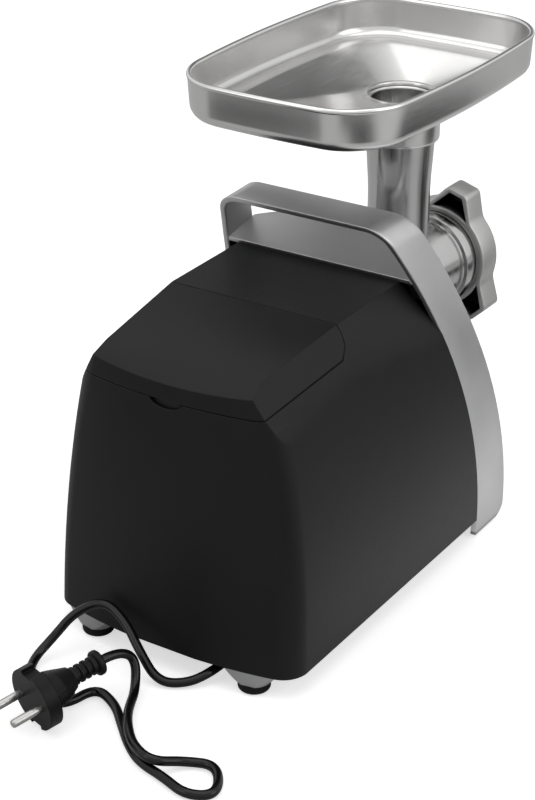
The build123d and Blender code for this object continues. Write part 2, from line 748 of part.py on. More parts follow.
def case_screw_holes():
    holes = Part()
    for x, z in CASE_SCREWS:
        for sign in (1, -1):
            holes += disc(SCREW_RADIUS, COVER_FRONT, PLATE_BACK, sign * x, z)
    return holes


def make_case_screws():
    screws = []
    for x, z in CASE_SCREWS:
        for sign in (1, -1):
            screw = disc(SCREW_RADIUS, COVER_FRONT, PLATE_BACK, sign * x, z)
            screws.append(screw + disc(SCREW_HEAD_RADIUS, PLATE_BACK, PLATE_BACK + SCREW_HEAD, sign * x, z))
    return screws


def make_output_bush():
    return disc(DRIVE_RADIUS + BUSH_WALL, COVER_FRONT, COVER_BACK, *HEAD_AXIS, bore=DRIVE_RADIUS + RUN_FIT)


def make_shaft_seal():
    outer = DRIVE_RADIUS + BUSH_WALL * 2
    return disc(outer, COVER_FRONT - SEAL_THICK, COVER_FRONT, *HEAD_AXIS, bore=DRIVE_RADIUS + RUN_FIT)


def make_head_socket():
    return disc(SOCKET_RADIUS, SOCKET_FACE, COVER_FRONT, *HEAD_AXIS, bore=SOCKET_BORE)


# Motor

def tie_places():
    return [(x, MOTOR_Z + dz) for x in (TIE_X, -TIE_X) for dz in (TIE_RISE, -TIE_RISE)]


def tie_holes():
    holes = Part()
    for x, z in tie_places():
        holes += disc(TIE_RADIUS, PLATE_FRONT, BRACKET_BACK, x, z)
    return holes


def make_motor_stator():
    block = slab(Pos(*MOTOR_AXIS) * RectangleRounded(*STATOR_SIZE, HUB_RADIUS), STATOR_FRONT, STATOR_BACK)
    block -= disc(CORE_RADIUS + AIR_GAP, STATOR_FRONT, STATOR_BACK, *MOTOR_AXIS)
    return block - tie_holes()


def make_field_coils():
    width, height = COIL_SIZE
    coils = []
    for side in (1, -1):
        z = MOTOR_Z + side * (CORE_RADIUS + AIR_GAP + height / 2)
        bar = Pos(0, z) * RectangleRounded(width, height, COIL_ROUND)
        coils.append(slab(bar, STATOR_FRONT - COIL_REACH, STATOR_FRONT))
        coils.append(slab(bar, STATOR_BACK, STATOR_BACK + COIL_REACH))
    return coils


def make_armature():
    core = Pos(*MOTOR_AXIS) * Circle(CORE_RADIUS)
    for i in range(ARMATURE_SLOTS):
        angle = 2 * pi * i / ARMATURE_SLOTS
        x = CORE_RADIUS * cos(angle)
        z = MOTOR_Z + CORE_RADIUS * sin(angle)
        core -= Pos(x, z) * Rot(0, 0, degrees(angle)) * Rectangle(SLOT_DEPTH * 2, SLOT_WIDTH)
    block = slab(core, STATOR_FRONT, STATOR_BACK)
    return block - disc(SHAFT_RADIUS, STATOR_FRONT, STATOR_BACK, *MOTOR_AXIS)


def make_armature_windings():
    radius = CORE_RADIUS - SLOT_DEPTH
    ends = ((STATOR_FRONT - COIL_REACH, STATOR_FRONT), (STATOR_BACK, STATOR_BACK + COIL_REACH))
    return [disc(radius, front, back, *MOTOR_AXIS, bore=SHAFT_RADIUS) for front, back in ends]


def make_motor_shaft():
    shaft = disc(SHAFT_RADIUS - RUN_FIT, PLATE_FRONT, BRACKET_BACK, *MOTOR_AXIS)
    front = PLATE_FRONT + BEARING_WIDTH
    shaft += disc(SHAFT_RADIUS, front, BRACKET_BACK - BEARING_WIDTH, *MOTOR_AXIS)
    return shaft + disc(STUB_RADIUS, stage_span(0)[0], PLATE_FRONT, *MOTOR_AXIS)


def make_motor_bearings():
    fronts = (PLATE_FRONT, BRACKET_BACK - BEARING_WIDTH)
    return [disc(BEARING_RADIUS, front, front + BEARING_WIDTH, *MOTOR_AXIS, bore=SHAFT_RADIUS)
            for front in fronts]


def make_cooling_fan():
    fan = disc(FAN_RADIUS, FAN_FRONT + FAN_LENGTH - FAN_BLADE, FAN_FRONT + FAN_LENGTH, *MOTOR_AXIS)
    fan += disc(SHAFT_RADIUS + BUSH_WALL, FAN_FRONT, FAN_FRONT + FAN_LENGTH, *MOTOR_AXIS)
    reach = FAN_RADIUS - SHAFT_RADIUS
    for i in range(FAN_BLADES):
        turn = Pos(*MOTOR_AXIS) * Rot(0, 0, 360 * i / FAN_BLADES)
        fan += slab(turn * Pos(SHAFT_RADIUS + reach / 2, 0) * Rectangle(reach - FAN_BLADE, FAN_BLADE),
                    FAN_FRONT, FAN_FRONT + FAN_LENGTH)
    return fan - disc(SHAFT_RADIUS, FAN_FRONT, FAN_FRONT + FAN_LENGTH, *MOTOR_AXIS)


def make_commutator():
    back = COMMUTATOR_FRONT + COMMUTATOR_LENGTH
    return disc(COMMUTATOR_RADIUS, COMMUTATOR_FRONT, back, *MOTOR_AXIS, bore=SHAFT_RADIUS)


def make_carbon_brushes():
    length, depth, height = BRUSH_SIZE[2], BRUSH_SIZE[1], BRUSH_SIZE[0]
    x = COMMUTATOR_RADIUS + BRUSH_GAP + length / 2
    middle = COMMUTATOR_FRONT + COMMUTATOR_LENGTH / 2
    return both_sides(Pos(x, middle, MOTOR_Z) * Box(length, depth, height))


def make_brush_holders():
    length, depth, height = BRUSH_SIZE[2], BRUSH_SIZE[1], BRUSH_SIZE[0]
    middle = COMMUTATOR_FRONT + COMMUTATOR_LENGTH / 2
    inner = COMMUTATOR_RADIUS + BRUSH_WALL
    outer = COMMUTATOR_RADIUS + BRUSH_GAP + length
    back = BRACKET_BACK - BEARING_WIDTH
    front = middle - depth / 2 - BRUSH_WALL
    holder = Pos((inner + outer) / 2, (front + back) / 2, MOTOR_Z) * Box(
        outer - inner, back - front, height + BRUSH_WALL * 2)
    x = COMMUTATOR_RADIUS + BRUSH_GAP + length / 2
    return both_sides(holder - Pos(x, middle, MOTOR_Z) * Box(length, depth, height))


def make_motor_bracket():
    front = BRACKET_BACK - BEARING_WIDTH
    low = FOOT_HEIGHT + BASE_THICK
    high = MOTOR_Z + STATOR_SIZE[1] / 2
    face = Pos(0, (low + high) / 2) * RectangleRounded(STATOR_SIZE[0], high - low, HUB_RADIUS)
    bracket = slab(face, front, BRACKET_BACK) - disc(BEARING_RADIUS, front, BRACKET_BACK, *MOTOR_AXIS)
    return bracket - tie_holes()


def make_tie_rods():
    rods = []
    for x, z in tie_places():
        rod = disc(TIE_RADIUS, PLATE_FRONT, BRACKET_BACK, x, z)
        rods.append(rod + disc(TIE_RADIUS * 2, BRACKET_BACK, BRACKET_BACK + SCREW_HEAD, x, z))
    return rods


# Grinder head

def make_grinder_head():
    flange_back = OUTLET_FLANGE_FACE + OUTLET_FLANGE_THICK
    shoulder = SOCKET_FACE - SHOULDER_THICK
    recess = OUTLET_FACE + PLATE_THICK + KNIFE_THICK + PLATE_FIT
    head = disc(SOCKET_BORE - SPIGOT_FIT, SOCKET_FACE, SPIGOT_BACK, *HEAD_AXIS)
    head += disc(BARREL_SHOULDER, shoulder, SOCKET_FACE, *HEAD_AXIS)
    head += disc(BARREL_RADIUS, OUTLET_FACE, SOCKET_FACE, *HEAD_AXIS)
    head += disc(OUTLET_FLANGE, OUTLET_FLANGE_FACE, flange_back, *HEAD_AXIS)
    head += disc(THREAD_RADIUS, OUTLET_FACE, OUTLET_FLANGE_FACE, *HEAD_AXIS)
    taper_top = TUBE_TOP - COLLAR_DROP
    head += Pos(0, TUBE_Y, 0) * upright(Circle(TUBE_WAIST), HEAD_Z, taper_top - TUBE_TAPER)
    head += Pos(0, TUBE_Y, taper_top - TUBE_TAPER / 2) * Cone(TUBE_WAIST, TUBE_RADIUS, TUBE_TAPER)
    head += Pos(0, TUBE_Y, 0) * upright(Circle(TUBE_RADIUS), taper_top, TUBE_TOP)
    head -= disc(BARREL_BORE, OUTLET_FACE, SOCKET_FACE - SHOULDER_THICK, *HEAD_AXIS)
    head -= disc(BARREL_BORE, SOCKET_FACE, SPIGOT_BACK, *HEAD_AXIS)
    head -= disc(BUSH_RADIUS, shoulder, SOCKET_FACE, *HEAD_AXIS)
    head -= disc(PLATE_RADIUS + PLATE_FIT, OUTLET_FACE, recess, *HEAD_AXIS)
    return head - Pos(0, TUBE_Y, 0) * upright(Circle(TUBE_BORE), HEAD_Z, TUBE_TOP)


def make_auger_bush():
    shoulder = SOCKET_FACE - SHOULDER_THICK
    return disc(BUSH_RADIUS, shoulder, SOCKET_FACE, *HEAD_AXIS, bore=TAIL_RADIUS + RUN_FIT)


def make_auger():
    # The core tapers towards the knife and one flight winds round it
    length = AUGER_BACK - AUGER_FRONT
    big, small = AUGER_CORE
    core = Pos(0, 0, length / 2) * Cone(big, small, length)
    path = Helix(AUGER_PITCH, length - AUGER_FLIGHT, small)
    reach = AUGER_RADIUS - small
    start = Plane(origin=path @ 0, x_dir=(1, 0, 0), z_dir=path % 0)
    blade = sweep(start * Pos(reach / 2, 0) * Rectangle(reach, AUGER_FLIGHT), path=path, is_frenet=True)
    screw = core + Pos(0, 0, AUGER_FLIGHT / 2) * blade
    screw &= Pos(0, 0, length / 2) * Cylinder(AUGER_RADIUS, length)
    screw = Plane(origin=(0, AUGER_BACK, HEAD_Z), x_dir=(1, 0, 0), z_dir=(0, -1, 0)) * screw
    square = Pos(*HEAD_AXIS) * Rectangle(KNIFE_SQUARE, KNIFE_SQUARE)
    knife_front = AUGER_FRONT - KNIFE_THICK
    screw += slab(square, knife_front, AUGER_FRONT)
    screw += disc(PLATE_CENTRE_HOLE - RUN_FIT, OUTLET_FACE, knife_front, *HEAD_AXIS)
    screw += disc(TAIL_RADIUS, AUGER_BACK, SOCKET_FACE, *HEAD_AXIS)
    tail = Pos(*HEAD_AXIS) * RegularPolygon(AUGER_TAIL_FLATS / 2, 6, major_radius=False)
    return screw + slab(tail, SOCKET_FACE, DRIVE_FRONT + TAIL_GRIP)


def make_knife():
    face = Circle(KNIFE_HUB)
    for turn in (0, 90):
        face += Rot(0, 0, turn) * RectangleRounded(KNIFE_SPAN, KNIFE_ARM, KNIFE_ROUND)
    face -= Rectangle(KNIFE_SQUARE, KNIFE_SQUARE)
    return slab(Pos(*HEAD_AXIS) * face, AUGER_FRONT - KNIFE_THICK, AUGER_FRONT)


def make_cutting_plate():
    face = Circle(PLATE_RADIUS) - Circle(PLATE_CENTRE_HOLE)
    row = PLATE_PITCH * sqrt(3) / 2
    for i in range(-PLATE_RINGS, PLATE_RINGS + 1):
        for j in range(-PLATE_RINGS, PLATE_RINGS + 1):
            x = PLATE_PITCH * (i + j / 2)
            z = row * j
            if PLATE_CENTRE_HOLE + PLATE_HOLE * 2 < hypot(x, z) < PLATE_RADIUS - PLATE_HOLE * 2:
                face -= Pos(x, z) * Circle(PLATE_HOLE)
    return slab(Pos(*HEAD_AXIS) * face, OUTLET_FACE, OUTLET_FACE + PLATE_THICK)


def nut_lobe(inset):
    tip = NUT_LOBE_TIP / 2 - inset
    root = NUT_LOBE_ROOT / 2 - inset
    high = NUT_LOBE_RADIUS - inset
    outline = Polyline((root, NUT_LOBE_START), (tip, high), (-tip, high), (-root, NUT_LOBE_START), close=True)
    return make_face(outline)


def make_ring_nut():
    face = Circle(NUT_RADIUS)
    turns = [NUT_LOBE_TURN + 360 * i / NUT_LOBES for i in range(NUT_LOBES)]
    for turn in turns:
        face += Rot(0, 0, turn) * nut_lobe(0)
    hollows = [v for v in face.vertices() if hypot(v.X, v.Y) < NUT_RADIUS + NEAR]
    face = fillet(hollows, NUT_HOLLOW)
    tips = [v for v in face.vertices() if hypot(v.X, v.Y) > NUT_LOBE_RADIUS - NEAR]
    face = fillet(tips, NUT_TIP_ROUND)
    place = Pos(*HEAD_AXIS)
    nut = slab(place * face, NUT_FRONT, NUT_BACK)
    for turn in turns:
        pocket = Rot(0, 0, turn) * nut_lobe(NUT_WALL) - Circle(NUT_RADIUS - NUT_WALL / 2)
        nut -= slab(place * pocket, NUT_FRONT + NUT_WALL, NUT_BACK)
    nut -= disc(THREAD_RADIUS + NUT_FIT, OUTLET_FACE - NUT_FIT, NUT_BACK, *HEAD_AXIS)
    return nut - disc(NUT_LIP, NUT_FRONT, NUT_BACK, *HEAD_AXIS)


# Hopper tray

def bowed_outline(half, front, rear, bows, corner):
    # A rectangle with gently bowed edges and round corners
    side_bow, end_bow = bows
    x = half - side_bow
    low = front + end_bow
    high = rear - end_bow
    middle = (front + rear) / 2
    left = ThreePointArc((x, low), (half, middle), (x, high))
    back = ThreePointArc((x, high), (0, rear), (-x, high))
    right = ThreePointArc((-x, high), (-half, middle), (-x, low))
    face = make_face([left, back, right, ThreePointArc((-x, low), (0, front), (x, low))])
    return fillet(face.vertices(), corner)


def tray_outline(inset, z):
    bows = (TRAY_SIDE_BOW, TRAY_END_BOW)
    corner = TRAY_CORNER - inset
    outline = bowed_outline(TRAY_WIDTH / 2 - inset, TRAY_FRONT + inset, TRAY_REAR - inset, bows, corner)
    return Pos(0, 0, z) * outline


def make_hopper_tray():
    floor = TRAY_TOP - TRAY_DEPTH
    hole = TUBE_RADIUS + COLLAR_FIT
    collar = hole + COLLAR_WALL
    pan = loft([tray_outline(TRAY_RIM, TRAY_TOP), tray_outline(TRAY_RIM + TRAY_DRAFT, floor)], ruled=True)
    inside = TRAY_RIM + TRAY_SHEET
    foot = tray_outline(inside + TRAY_DRAFT, floor + TRAY_SHEET)
    hollow = loft([tray_outline(inside, TRAY_TOP), foot], ruled=True)
    mouth_bows = (TRAY_END_BOW, TRAY_END_BOW)
    mouth = bowed_outline(collar, TUBE_Y - collar, TUBE_Y + collar, mouth_bows, TRAY_MOUTH)
    mouth = Pos(0, 0, floor - TRAY_DISH) * mouth
    dish = loft([tray_outline(TRAY_RIM + TRAY_DRAFT + TRAY_LEDGE, floor), mouth], ruled=True)
    pan += dish
    pan += Pos(0, TUBE_Y, 0) * upright(Circle(collar), floor - TRAY_DISH - COLLAR_DROP, floor - TRAY_DISH)
    rim = upright(tray_outline(0, 0), TRAY_TOP - TRAY_RIM * 2, TRAY_TOP)
    pan += fillet(rim.edges().group_by(Axis.Z)[0] + rim.edges().group_by(Axis.Z)[-1], TRAY_RIM_ROUND)
    pan -= hollow
    pan -= Pos(0, 0, TRAY_SHEET) * dish
    pan -= Pos(0, TUBE_Y, 0) * upright(Circle(TRAY_MOUTH), TUBE_TOP, TRAY_TOP)
    return pan - Pos(0, TUBE_Y, 0) * upright(Circle(hole), floor - TRAY_DISH - COLLAR_DROP, TUBE_TOP)


# Cord, gland and plug

def make_cord_gland():
    plane = Plane(origin=(GLAND_X, GLAND_BACK, GLAND_Z), x_dir=(1, 0, 0), z_dir=(0, 1, 0))
    tip = CORD_DIAMETER / 2 + GLAND_TIP
    return loft([plane * Circle(GLAND_ROOT), plane.offset(GLAND_LENGTH) * Circle(tip)])


def cord_radii():
    # Each bend takes most of the shorter run beside it
    radii = []
    for before, here, after in zip(CORD_POINTS, CORD_POINTS[1:], CORD_POINTS[2:]):
        arriving = Vector(*here) - Vector(*before)
        leaving = Vector(*after) - Vector(*here)
        turn = radians(arriving.get_angle(leaving))
        radii.append(BEND_SHARE * min(arriving.length, leaving.length) / tan(turn / 2))
    return radii


def make_power_cord():
    radii = cord_radii()
    path = FilletPolyline(*CORD_POINTS, radius=radii)
    start = Plane(origin=path @ 0, z_dir=path % 0)
    cord = sweep(start * Circle(CORD_DIAMETER / 2), path=path)
    print("cord bends", [round(r, 1) for r in radii], "length", round(path.length, 1))
    section_by_length = pi * CORD_DIAMETER ** 2 / 4 * path.length
    print("cord volume", round(cord.volume), "section by length", round(section_by_length))
    return cord


def plug_plane(distance):
    # Across the plug, that far from the end where the cord comes in
    axis = (Vector(*CORD_POINTS[-1]) - Vector(*CORD_POINTS[-2])).normalized()
    across = axis.cross(Vector(0, 0, 1)).normalized()
    return Plane(origin=Vector(*CORD_POINTS[-1]) + axis * distance, x_dir=across, z_dir=axis)


def make_plug_body():
    flange_back = PLUG_LENGTH - PLUG_FLANGE_THICK
    body = extrude(plug_plane(0) * Circle(PLUG_COLLAR_RADIUS), amount=PLUG_COLLAR)
    body = fillet(body.edges().filter_by(GeomType.CIRCLE), PLUG_COLLAR_ROUND)
    body += extrude(plug_plane(0) * Circle(PLUG_NECK_RADIUS), amount=PLUG_RELIEF_LENGTH)
    depth, groove = PLUG_GROOVE
    pitch = (PLUG_RELIEF_LENGTH - PLUG_COLLAR) / (PLUG_RELIEF_GROOVES + 1)
    for i in range(PLUG_RELIEF_GROOVES):
        place = plug_plane(PLUG_COLLAR + pitch * (i + 1) - groove / 2)
        body -= extrude(place * (Circle(FAR) - Circle(PLUG_NECK_RADIUS - depth)), amount=groove)
    stations = (PLUG_RELIEF_LENGTH, (PLUG_RELIEF_LENGTH + flange_back) / 2, flange_back)
    body += loft([plug_plane(at) * Ellipse(width / 2, height / 2)
                  for at, (width, height) in zip(stations, PLUG_GRIP)], ruled=True)
    flange = Circle(PLUG_FLANGE)
    for side in (1, -1):
        flange -= Pos(0, side * PLUG_FLANGE) * Rectangle(PLUG_NOTCH_WIDTH, PLUG_NOTCH * 2)
    return body + extrude(plug_plane(flange_back) * flange, amount=PLUG_FLANGE_THICK)


def make_plug_pins():
    pins = []
    for side in (1, -1):
        face = plug_plane(PLUG_LENGTH) * Pos(side * PIN_SPACING / 2, 0) * Circle(PIN_RADIUS)
        pin = extrude(face, amount=PIN_LENGTH)
        beyond = plug_plane(PLUG_LENGTH + PIN_LENGTH * 2).origin
        tip = pin.edges().filter_by(GeomType.CIRCLE).sort_by_distance(beyond)[0]
        pins.append(fillet(tip, PIN_TIP_ROUND))
    return pins


NODES = {
    "rear_housing": make_rear_housing, "base_plate": make_base_plate, "silver_frame": make_silver_frame,
    "front_panel": make_front_panel, "storage_lid": make_storage_lid, "lid_hinge_pins": make_lid_hinge_pins,
    "storage_bin": make_storage_bin, "rear_foot_legs": make_rear_foot_legs,
    "rear_foot_pads": make_rear_foot_pads, "front_feet": make_front_feet, "base_screws": make_base_screws,
    "power_button": lambda: make_button(POWER_BUTTON),
    "reverse_button": lambda: make_button(REVERSE_BUTTON),
    "release_button": lambda: make_button(RELEASE_BUTTON), "button_switches": make_button_switches,
    "gearbox_plate": make_gearbox_plate, "gearbox_cover": make_gearbox_cover,
    "case_screws": make_case_screws,
    "first_axle": lambda: make_axle(FIRST_AXIS), "second_axle": lambda: make_axle(SECOND_AXIS),
    "motor_pinion": make_motor_pinion, "first_reduction_gear": lambda: make_reduction(0),
    "second_reduction_gear": lambda: make_reduction(1), "output_gear": make_output_gear,
    "drive_shaft": make_drive_shaft, "output_bush": make_output_bush, "shaft_seal": make_shaft_seal,
    "motor_stator": make_motor_stator, "field_coils": make_field_coils, "armature_core": make_armature,
    "armature_windings": make_armature_windings, "motor_shaft": make_motor_shaft,
    "motor_bearings": make_motor_bearings, "cooling_fan": make_cooling_fan, "commutator": make_commutator,
    "carbon_brushes": make_carbon_brushes, "brush_holders": make_brush_holders,
    "motor_bracket": make_motor_bracket, "motor_tie_rods": make_tie_rods,
    "head_socket": make_head_socket, "grinder_head": make_grinder_head, "auger_bush": make_auger_bush,
    "auger": make_auger, "cross_knife": make_knife, "cutting_plate": make_cutting_plate,
    "ring_nut": make_ring_nut, "hopper_tray": make_hopper_tray,
    "cord_gland": make_cord_gland, "power_cord": make_power_cord, "plug_body": make_plug_body,
    "plug_pins": make_plug_pins,
}

MIDDLE = (NUT_FRONT + REAR_Y) / 2
os.makedirs("parts", exist_ok=True)
for name, make in NODES.items():
    shape = make()
    pieces = shape if isinstance(shape, list) else [shape]
    solids = [Pos(0, -MIDDLE, 0) * solid for piece in pieces for solid in piece.solids()]
    export_step(Compound(children=solids), f"parts/{name}.step")
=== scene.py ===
import bmesh
import bpy
import json
import math
from mathutils import Matrix, Vector


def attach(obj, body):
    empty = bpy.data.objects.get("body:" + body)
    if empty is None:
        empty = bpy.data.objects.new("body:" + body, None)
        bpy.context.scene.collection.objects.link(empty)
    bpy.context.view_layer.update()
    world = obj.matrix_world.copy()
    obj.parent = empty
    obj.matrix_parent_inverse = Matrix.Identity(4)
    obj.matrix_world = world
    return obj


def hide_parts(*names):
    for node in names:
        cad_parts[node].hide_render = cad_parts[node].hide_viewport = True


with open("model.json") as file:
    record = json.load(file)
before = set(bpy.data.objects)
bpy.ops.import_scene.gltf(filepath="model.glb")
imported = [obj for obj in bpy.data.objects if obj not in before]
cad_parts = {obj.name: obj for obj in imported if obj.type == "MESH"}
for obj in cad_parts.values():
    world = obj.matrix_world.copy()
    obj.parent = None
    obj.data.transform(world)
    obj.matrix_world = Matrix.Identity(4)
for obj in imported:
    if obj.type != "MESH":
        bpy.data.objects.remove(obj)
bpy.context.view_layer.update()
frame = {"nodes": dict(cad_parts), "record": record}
nodes = frame["nodes"]
print("frame loaded:", len(nodes), "nodes")

scene = bpy.context.scene
scene.view_settings.view_transform = "Standard"


# Finishes
surface = {
    "plasticCloud": 14, "plasticUneven": 0.06, "metalCloud": 22, "metalDetail": 4.0, "edgeSamples": 6,
    "paintedShadeColour": (0.006, 0.006, 0.006), "paintedShadeSamples": 8, "paintedShadeDeep": 0.35, "paintedShadeOpen": 0.62,
}


def startMaterial(name, colour, metallic, roughness, shine=0.5):
    made = bpy.data.materials.new(name)
    made.use_nodes = True
    tree = made.node_tree
    shader = tree.nodes["Principled BSDF"]
    shader.inputs["Base Color"].default_value = (*colour, 1)
    shader.inputs["Metallic"].default_value = metallic
    shader.inputs["Roughness"].default_value = roughness
    shader.inputs["Specular IOR Level"].default_value = shine
    return made, tree, shader


def objectPoint(tree, stretch=(1, 1, 1)):
    place = tree.nodes.new("ShaderNodeTexCoord")
    mapping = tree.nodes.new("ShaderNodeMapping")
    mapping.inputs["Scale"].default_value = stretch
    tree.links.new(place.outputs["Object"], mapping.inputs["Vector"])
    return mapping.outputs["Vector"]


def noiseOn(tree, point, scale, detail=3.0):
    grain = tree.nodes.new("ShaderNodeTexNoise")
    grain.inputs["Scale"].default_value = scale
    grain.inputs["Detail"].default_value = detail
    tree.links.new(point, grain.inputs["Vector"])
    return grain.outputs["Fac"]


def spread(tree, value, low, high, fromLow=0.3, fromHigh=0.7):
    ramp = tree.nodes.new("ShaderNodeMapRange")
    ramp.inputs["From Min"].default_value = fromLow
    ramp.inputs["From Max"].default_value = fromHigh
    ramp.inputs["To Min"].default_value = low
    ramp.inputs["To Max"].default_value = high
    tree.links.new(value, ramp.inputs["Value"])
    return ramp.outputs["Result"]


def blendColours(tree, value, dark, light):
    mix = tree.nodes.new("ShaderNodeMix")
    mix.data_type = "RGBA"
    mix.inputs["A"].default_value = (*dark, 1)
    mix.inputs["B"].default_value = (*light, 1)
    tree.links.new(value, mix.inputs["Factor"])
    return mix.outputs["Result"]


def addBump(tree, shader, value, strength, distance, softEdge):
    bump = tree.nodes.new("ShaderNodeBump")
    bump.inputs["Strength"].default_value = strength
    bump.inputs["Distance"].default_value = distance
    tree.links.new(value, bump.inputs["Height"])
    tree.links.new(bump.outputs["Normal"], shader.inputs["Normal"])
    if softEdge:  # moulded and painted edges are a little round
        edge = tree.nodes.new("ShaderNodeBevel")
        edge.samples = surface["edgeSamples"]
        edge.inputs["Radius"].default_value = softEdge
        tree.links.new(edge.outputs["Normal"], bump.inputs["Normal"])


def grainedPlastic(name, colour, roughness, shine=0.3, grain=1500, depth=0.00005, strength=0.3,
                   mottle=0.12, softEdge=0.0006):
    made, tree, shader = startMaterial(name, colour, 0.0, roughness, shine)
    point = objectPoint(tree)
    fine = noiseOn(tree, point, grain)
    cloudy = noiseOn(tree, point, surface["plasticCloud"])
    uneven = surface["plasticUneven"]
    darker = tuple(c * (1 - mottle) for c in colour)
    lighter = tuple(c * (1 + mottle) for c in colour)
    shade = blendColours(tree, spread(tree, cloudy, 0, 1), darker, lighter)
    tree.links.new(shade, shader.inputs["Base Color"])
    tree.links.new(spread(tree, fine, roughness - uneven, roughness + uneven), shader.inputs["Roughness"])
    addBump(tree, shader, fine, strength, depth, softEdge)
    return made


# painted shade: where ambient occlusion finds a surface deep in a pocket or crevice, the base colour is mixed
# toward near-black, so shade is painted into the colour
def paintHollowShade(tree, shade, reach):
    occlusionShade = tree.nodes.new("ShaderNodeAmbientOcclusion")
    occlusionShade.samples = surface["paintedShadeSamples"]
    occlusionShade.only_local = True  # the piece alone, so a bake sees the same
    occlusionShade.inputs["Distance"].default_value = reach
    mix = tree.nodes.new("ShaderNodeMix")
    mix.data_type = "RGBA"
    mix.inputs["A"].default_value = (*surface["paintedShadeColour"], 1)
    tree.links.new(shade, mix.inputs["B"])
    openness = spread(tree, occlusionShade.outputs["AO"], 0, 1, surface["paintedShadeDeep"], surface["paintedShadeOpen"])
    tree.links.new(openness, mix.inputs["Factor"])
    return mix.outputs["Result"]


def grainedMetal(name, colour, roughness, stretch=(1, 1, 1), grain=600, depth=0.00003, strength=0.2,
                 sweep=0.08, mottle=0.06, softEdge=0.0004, hollowShadeReach=0):
    made, tree, shader = startMaterial(name, colour, 1.0, roughness)
    streak = noiseOn(tree, objectPoint(tree, stretch), grain, surface["metalDetail"])
    cloudy = noiseOn(tree, objectPoint(tree), surface["metalCloud"])
    darker = tuple(c * (1 - mottle) for c in colour)
    lighter = tuple(min(1, c * (1 + mottle)) for c in colour)
    shade = blendColours(tree, spread(tree, cloudy, 0, 1), darker, lighter)
    # painted shade darkens the piece's pockets and crevices
    if hollowShadeReach:
        shade = paintHollowShade(tree, shade, hollowShadeReach)
    tree.links.new(shade, shader.inputs["Base Color"])
    tree.links.new(spread(tree, streak, roughness - sweep, roughness + sweep), shader.inputs["Roughness"])
    addBump(tree, shader, streak, strength, depth, softEdge)
    return made


finishes = {
    "blackShell": grainedPlastic("blackShell", (0.007, 0.007, 0.0073), 0.44, shine=0.18, softEdge=0.0009),
    "binPlastic": grainedPlastic("binPlastic", (0.014, 0.014, 0.0146), 0.5, shine=0.25),
    "buttonGloss": grainedPlastic("buttonGloss", (0.03, 0.03, 0.032), 0.22, grain=700, strength=0.1),
    "footGrey": grainedPlastic("footGrey", (0.36, 0.36, 0.365), 0.5),
    "footRubber": grainedPlastic("footRubber", (0.007, 0.007, 0.007), 0.6, shine=0.15, grain=900),
    "cordSheath": grainedPlastic("cordSheath", (0.004, 0.004, 0.0042), 0.2, shine=0.28, grain=900,
                                 strength=0.08, softEdge=0),
    "plugPlastic": grainedPlastic("plugPlastic", (0.005, 0.005, 0.0052), 0.4, shine=0.15, grain=1100,
                                   softEdge=0.0008),
    "nylon": grainedPlastic("nylon", (0.62, 0.60, 0.53), 0.45, mottle=0.05, softEdge=0),
    "sealRubber": grainedPlastic("sealRubber", (0.03, 0.03, 0.03), 0.6),
    "carbon": grainedPlastic("carbon", (0.03, 0.03, 0.03), 0.55, grain=2200),
    "silverPaint": grainedMetal("silverPaint", (0.49, 0.49, 0.495), 0.42, grain=2600, sweep=0.05,
                                softEdge=0.0012),
    "traySteel": grainedMetal("traySteel", (0.60, 0.597, 0.592), 0.24, stretch=(1, 0.02, 1), grain=1800,
                              strength=0.03, sweep=0.03, softEdge=0),
    "castAluminium": grainedMetal("castAluminium", (0.47, 0.469, 0.466), 0.2, stretch=(1, 1, 0.05), grain=500,
                                  softEdge=0),
    # the nut's deep pockets get painted shade through ambient occlusion
    "nutAluminium": grainedMetal("nutAluminium", (0.43, 0.429, 0.425), 0.46, grain=1400, strength=0.45,
                                 softEdge=0.0012, hollowShadeReach=0.016),
    "groundSteel": grainedMetal("groundSteel", (0.56, 0.56, 0.57), 0.3, stretch=(1, 0.08, 1)),
    "nickel": grainedMetal("nickel", (0.36, 0.357, 0.35), 0.24),
    "laminatedIron": grainedMetal("laminatedIron", (0.22, 0.22, 0.23), 0.5, stretch=(0.02, 8, 0.02),
                                  grain=150, strength=0.6),
    "copperWire": grainedMetal("copperWire", (0.62, 0.26, 0.11), 0.35, stretch=(1, 0.1, 1)),
    "bronzeBush": grainedMetal("bronzeBush", (0.55, 0.37, 0.16), 0.4),
}
print("finishes made:", len(finishes))

slotFinish = {
    "black_plastic": "blackShell", "silver_paint": "silverPaint", "tray_steel": "traySteel",
    "cast_aluminium": "castAluminium", "nut_aluminium": "nutAluminium", "steel": "groundSteel",
    "foot_plastic": "footGrey", "foot_rubber": "footRubber", "cord_rubber": "cordSheath",
    "plug_plastic": "plugPlastic", "nickel": "nickel", "gear_plastic": "nylon", "bin_plastic": "binPlastic",
    "button_plastic": "buttonGloss", "laminated_iron": "laminatedIron", "copper": "copperWire",
    "bronze": "bronzeBush", "carbon": "carbon", "seal_rubber": "sealRubber",
}
for row in frame["record"]["subparts"]:
    coat = finishes[slotFinish[row["material_slot"]]]
    nodes[row["node"]].data.materials.clear()
    nodes[row["node"]].data.materials.append(coat)


# Hand tools used by the pieces below
bench = {"seed": 0.001, "weld": 0.00001, "sliver": 0.000001}


def deselectAll():
    bpy.ops.object.select_all(action="DESELECT")


def pickEdges(piece, wanted):
    bpy.context.tool_settings.mesh_select_mode = (False, True, False)
    mesh = bmesh.from_edit_mesh(piece.data)
    for edge in mesh.edges:
        edge.select_set(False)
    for edge in mesh.edges:
        if wanted(edge):
            edge.select_set(True)
    mesh.select_flush_mode()
    bmesh.update_edit_mesh(piece.data)


def pickFaces(piece, wanted):
    bpy.context.tool_settings.mesh_select_mode = (False, False, True)
    mesh = bmesh.from_edit_mesh(piece.data)
    for face in mesh.faces:
        face.select_set(False)
    for face in mesh.faces:
        if wanted(face):
            face.select_set(True)
    mesh.select_flush_mode()
    bmesh.update_edit_mesh(piece.data)


